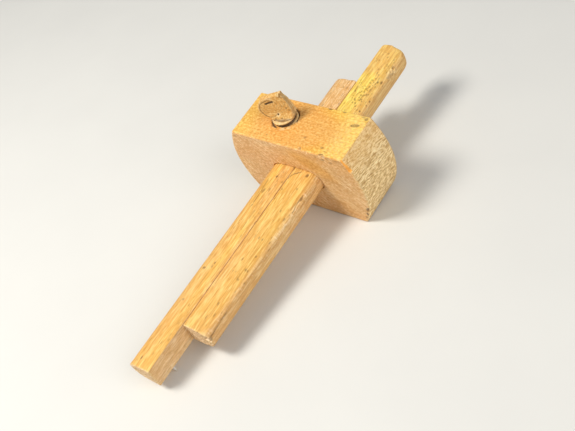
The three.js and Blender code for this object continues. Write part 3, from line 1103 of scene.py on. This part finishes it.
def shape_screw(skin):
    """The plate, then the thread. u, v and z are places across, out of and up the plate."""
    axis = screw_axis()
    across, out = plate_frame()
    from_axis = skin.points - np.array([axis[0], axis[1], 0])
    u, v, z = from_axis @ across, from_axis @ out, skin.points[:, 2]
    radius = np.hypot(from_axis[:, 0], from_axis[:, 1])
    plate = step(2.9, 4.2, z)
    smooth_plate(skin, across, u, z, plate)

    # Knife facets on the plate, and a fine roughness all over.
    local = np.stack([u, v, z], 1)
    skin.push(plate * (0.16 * lumps(local, (3.4, 9, 4.2), SEED + 20) - 0.1))
    skin.push(0.03 * lumps(local, (0.9, 0.9, 1.4), SEED + 21))

    face = step(0.55, 0.85, skin.facing @ out)
    torn = lumps(local, (0.8, 0.8, 0.8), SEED + 22)
    bite_corner(skin, u, z, torn)
    mark_knot(skin, local, u, z, face)
    mark_face(skin, local, u, z, face, torn)
    seam_flank(skin, local, v, step(0.55, 0.85, skin.facing @ across) * plate)
    skin.paint(wear=0.55 * step(0.05, 0.2, skin.keen) * plate)
    wear_thread(skin, local, z, radius, 1 - plate)


def smooth_plate(skin, across, u, z, plate):
    """Softens the plate, its peak and the neck under it, and fills out its edge below the peak."""
    peak = step(5.5, 2.0, np.hypot(u - 3.6, z - 20.0))
    skin.relax(12, plate)
    skin.relax(26, peak)
    skin.relax(30, between(3.2, 5.0, z, 1.2))
    skin.relax(2)
    swell = 0.8 * between(9, 13, z, 4.5) * step(1.5, 5.0, u)
    skin.points += np.outer(swell, across)


def bite_corner(skin, u, z, torn):
    """A torn bite out of the plate near its peak, pale where the wood broke."""
    away = np.hypot((u - 2.8) / 1.5, (z - 18.6) / 1.6)
    bite = step(1.3, 0.5, away) * step(-0.3, 0.5, torn)
    skin.push(-0.5 * bite)
    skin.paint(wear=0.9 * step(1.5, 0.7, away) * step(0.2, -0.4, torn), dirt=0.55 * bite)


def mark_knot(skin, local, u, z, face):
    """A knot like a slit, growth rings round it, and a groove that bends under it."""
    slit = off_line(local[:, [0, 2]], (-6.5, 13.5), (-2.2, 14.6))
    slit = slit + 0.12 * lumps(local, (0.7, 0.7, 0.7), SEED + 23)
    knot = step(0.85, 0.35, slit) * face
    skin.push(-0.5 * knot)
    skin.paint(dirt=knot)
    rings = np.hypot((u + 4.0) / 1.25, z - 13.2) + 0.9 * lumps(local, (3.4, 9, 3), SEED + 24)
    ring_line = step(0.55, 0.95, np.cos(rings * 2 * math.pi / RING_STEP)) * step(0.8, 1.4, rings)
    faint = 0.5 + 0.5 * lumps(local, (2.2, 9, 2.2), SEED + 27)
    skin.paint(dirt=0.42 * ring_line * faint * face * step(9.5, 5.0, rings))
    wide = np.hypot(u + 5.2, z - 10.3) + 0.25 * lumps(local, (2.5, 9, 2.5), SEED + 28)
    lower_left = step(-1.0, -3.0, u) * step(4.0, 6.0, z) * face
    groove = between(5.2, 5.6, wide, 0.25) * lower_left
    skin.push(-0.12 * groove)
    skin.paint(dirt=0.6 * groove, wear=0.5 * step(5.9, 6.4, wide) * lower_left)


def mark_face(skin, local, u, z, face, torn):
    """A dark line under the peak, a line of painted shade round the foot, a worm hole with a pale rim,
    and pits.
    """
    under_peak = off_line(local[:, [0, 2]], (2.6, 17.4), (5.6, 17.0))
    skin.paint(dirt=0.55 * step(0.6, 0.2, under_peak + 0.2 * torn) * face)
    # Painted shade: a dark line round the foot of the plate, where it meets the thread's shoulder.
    skin.paint(dirt=0.75 * between(3.3, 3.5, z, 0.2))
    hole = np.hypot(u + 1.3, z - 6.2)
    skin.push(-0.7 * step(0.55, 0.3, hole) * face)
    skin.paint(dirt=step(0.62, 0.42, hole) * face, wear=0.9 * between(0.7, 1.15, hole, 0.3) * face)
    for at_u, at_z, size in PLATE_PITS:
        pit = np.hypot(u - at_u, z - at_z) / size + 0.3 * torn
        skin.push(-0.3 * step(1.2, 0.6, pit) * face)
        skin.paint(dirt=0.85 * step(1.3, 0.7, pit) * face)
    speck = np.hypot(u + 3.2, z - 3.9)
    skin.paint(dirt=0.8 * step(0.6, 0.3, speck) * face)


def seam_flank(skin, local, v, flank):
    """Flank of the plate made pale with a painted highlight, with three dark seams up it."""
    # Painted highlight over the whole flank.
    skin.paint(wear=0.62 * flank)
    sway = 0.15 * lumps(local, (2, 2, 3), SEED + 25)
    for place in (-0.85, 0.0, 0.85):
        skin.paint(dirt=0.7 * between(-0.12, 0.12, v - place + sway, 0.12) * flank)


def wear_thread(skin, local, z, radius, thread):
    """Pale crests and shoulder, partly rubbed and partly painted highlight, over roots and a line scored
    round the shoulder, both darkened with painted shade.
    """
    crest = radius[z < 2].max()
    shoulder = step(0.5, 0.9, skin.facing[:, 2]) * step(1.0, 1.6, z)
    # The crests and upward shoulder made pale: partly rubbing and partly a painted highlight.
    skin.paint(wear=thread * np.maximum(step(crest - 0.9, crest - 0.3, radius), shoulder))
    # Painted shade in the roots and in the scored line.
    root = step(crest - 0.7, crest - 1.2, radius) * (1 - shoulder)
    scored = between(crest - 2.5, crest - 2.1, radius, 0.2) * shoulder
    skin.paint(dirt=0.95 * thread * np.maximum(root, scored))
    skin.push(-0.3 * thread * scored)
    skin.push(-0.12 * thread * step(0.1, 0.8, lumps(local, (1.5, 1.5, 0.8), SEED + 26)))


class GAUGE_OT_thumb_screw(bpy.types.Operator):
    """Make the wooden thumb screw, its thread and plate in one"""

    bl_idname = "gauge.thumb_screw"
    bl_label = "Thumb Screw"

    def execute(self, context):
        sizes, colours = context.scene.gauge_sizes, context.scene.gauge_colours
        skin = fine_skin("thumb_screw", sizes.screw_mesh, 2)
        shape_screw(skin)
        skin.finish()
        ends = shade(colours.screw_colour, 1.1, 1.1, 1.2)
        tones = wood_colours(colours, colours.screw_colour, ends)
        material = wood("screw_beech", tones, 0, (0.0, -10.0, 13.0), 1.5, 0.8, 0.35)
        add_piece("thumb_screw_turned", skin.mesh, "screw", material, "thumb_screw")
        return {"FINISHED"}


# ---- Pressure pad ----


class GAUGE_OT_pad(bpy.types.Operator):
    """Make the leather pad under the screw's tip"""

    bl_idname = "gauge.pad"
    bl_label = "Pressure Pad"

    def execute(self, context):
        low, high = node_box("pressure_pad")
        skin = fine_skin("pressure_pad", context.scene.gauge_sizes.pad_mesh, 3)
        x, y = skin.points.T[:2]
        middle = (low + high) / 2
        far = np.hypot(x - middle[0], y - middle[1]) / (high[0] - middle[0])
        skin.push(0.1 * skin.lumps((1.4, 1.4, 1.4), 30) - 0.1)
        skin.push(-0.18 * step(0.75, 0.2, far) * step(0.5, 0.9, skin.facing[:, 2]))
        skin.finish()
        colour = context.scene.gauge_colours.leather_colour
        material = leather("pad_hide", colour, shade(colour, 0.4, 0.4, 0.4))
        add_piece("pressure_pad_disc", skin.mesh, "pad", material, "pressure_pad")
        return {"FINISHED"}


# ---- Stage ----


CAMERA_AZIMUTH = math.radians(141.12)
CAMERA_ELEVATION = math.radians(43.1)
CAMERA_ROLL = math.radians(-21.96)
CAMERA_DISTANCE = 429.03 * MM
CAMERA_LENS = 52.67
CAMERA_AIM = Vector((18.68, 22.82, 40.0)) * MM
FLOOR_HALF_WIDTH = 4.0
# Each light's name, azimuth and elevation in degrees, distance, width, power and colour.
LIGHTS = (
    ("key", 52, 57, 0.95, 0.3, 7.9, (1.0, 0.96, 0.88)),
    ("fill", 172, 38, 1.2, 0.8, 6.0, (1.0, 0.97, 0.92)),
)


def way_to(azimuth, elevation):
    """The unit way at an azimuth, from the front toward X, and an elevation, in radians."""
    flat = math.cos(elevation)
    return Vector((math.sin(azimuth) * flat, -math.cos(azimuth) * flat, math.sin(elevation)))


def facing_back(way, distance, aim=(0.0, 0.0, 0.0)):
    """The place at distance along way from aim, turned to look back at it."""
    turn = way.to_track_quat("Z", "Y").to_matrix().to_4x4()
    return Matrix.Translation(Vector(aim) + way * distance) @ turn


def add_camera():
    camera = bpy.data.objects.new("camera", bpy.data.cameras.new("camera"))
    bpy.context.scene.collection.objects.link(camera)
    camera.data.lens = CAMERA_LENS
    camera.data.sensor_width = 36.0
    camera.data.clip_start = 0.01
    way = way_to(CAMERA_AZIMUTH, CAMERA_ELEVATION)
    place = facing_back(way, CAMERA_DISTANCE, CAMERA_AIM)
    camera.matrix_world = place @ Matrix.Rotation(CAMERA_ROLL, 4, "Z")
    bpy.context.scene.camera = camera


def add_light(name, azimuth, elevation, distance, width, power, colour):
    """A square soft light that looks at the gauge from an azimuth and elevation in degrees."""
    light = bpy.data.objects.new(name, bpy.data.lights.new(name, "AREA"))
    bpy.context.scene.collection.objects.link(light)
    light.data.size = width
    light.data.energy = power
    light.data.color = colour
    way = way_to(math.radians(azimuth), math.radians(elevation))
    light.matrix_world = facing_back(way, distance)


class GAUGE_OT_stage(bpy.types.Operator):
    """Make the floor, the lights and the camera"""

    bl_idname = "gauge.stage"
    bl_label = "Stage"

    def execute(self, context):
        scene = context.scene
        bm = bmesh.new()
        bmesh.ops.create_grid(bm, x_segments=8, y_segments=8, size=FLOOR_HALF_WIDTH)
        mesh = bpy.data.meshes.new("floor")
        bm.to_mesh(mesh)
        bm.free()
        floor = bpy.data.objects.new("floor", mesh)
        scene.collection.objects.link(floor)
        mesh.materials.append(plain_floor("floor_board", scene.gauge_colours.floor_colour))
        for light in LIGHTS:
            add_light(*light)
        world = scene.world or bpy.data.worlds.new("studio")
        scene.world = world
        world.use_nodes = True
        background = world.node_tree.nodes["Background"]
        background.inputs["Color"].default_value = (0.95, 0.97, 1.0, 1.0)
        background.inputs["Strength"].default_value = 0.32
        scene.view_settings.view_transform = "Standard"
        add_camera()
        return {"FINISHED"}


# ---- Panel and registration ----


class GAUGE_PT_panel(bpy.types.Panel):
    """Pieces and settings of the gauge"""

    bl_idname = "GAUGE_PT_panel"
    bl_label = "Mortise Gauge"
    bl_space_type = "VIEW_3D"
    bl_region_type = "UI"
    bl_category = "Gauge"

    def draw(self, context):
        for operator in OPERATORS:
            self.layout.operator(operator.bl_idname)
        for settings in (context.scene.gauge_sizes, context.scene.gauge_colours):
            box = self.layout.box()
            for name in settings.__annotations__:
                box.prop(settings, name)


OPERATORS = (
    GAUGE_OT_head,
    GAUGE_OT_stems,
    GAUGE_OT_pins,
    GAUGE_OT_thumb_screw,
    GAUGE_OT_pad,
    GAUGE_OT_stage,
)
CLASSES = (GaugeSizes, GaugeColours, *OPERATORS, GAUGE_PT_panel)


def register():
    for cls in CLASSES:
        bpy.utils.register_class(cls)
    bpy.types.Scene.gauge_sizes = bpy.props.PointerProperty(type=GaugeSizes)
    bpy.types.Scene.gauge_colours = bpy.props.PointerProperty(type=GaugeColours)


def unregister():
    del bpy.types.Scene.gauge_colours
    del bpy.types.Scene.gauge_sizes
    for cls in reversed(CLASSES):
        bpy.utils.unregister_class(cls)


def main():
    register()
    bpy.ops.gauge.head()
    bpy.ops.gauge.stems()
    bpy.ops.gauge.pins()
    bpy.ops.gauge.thumb_screw()
    bpy.ops.gauge.pad()
    bpy.ops.gauge.stage()


if __name__ == "__main__":
    main()
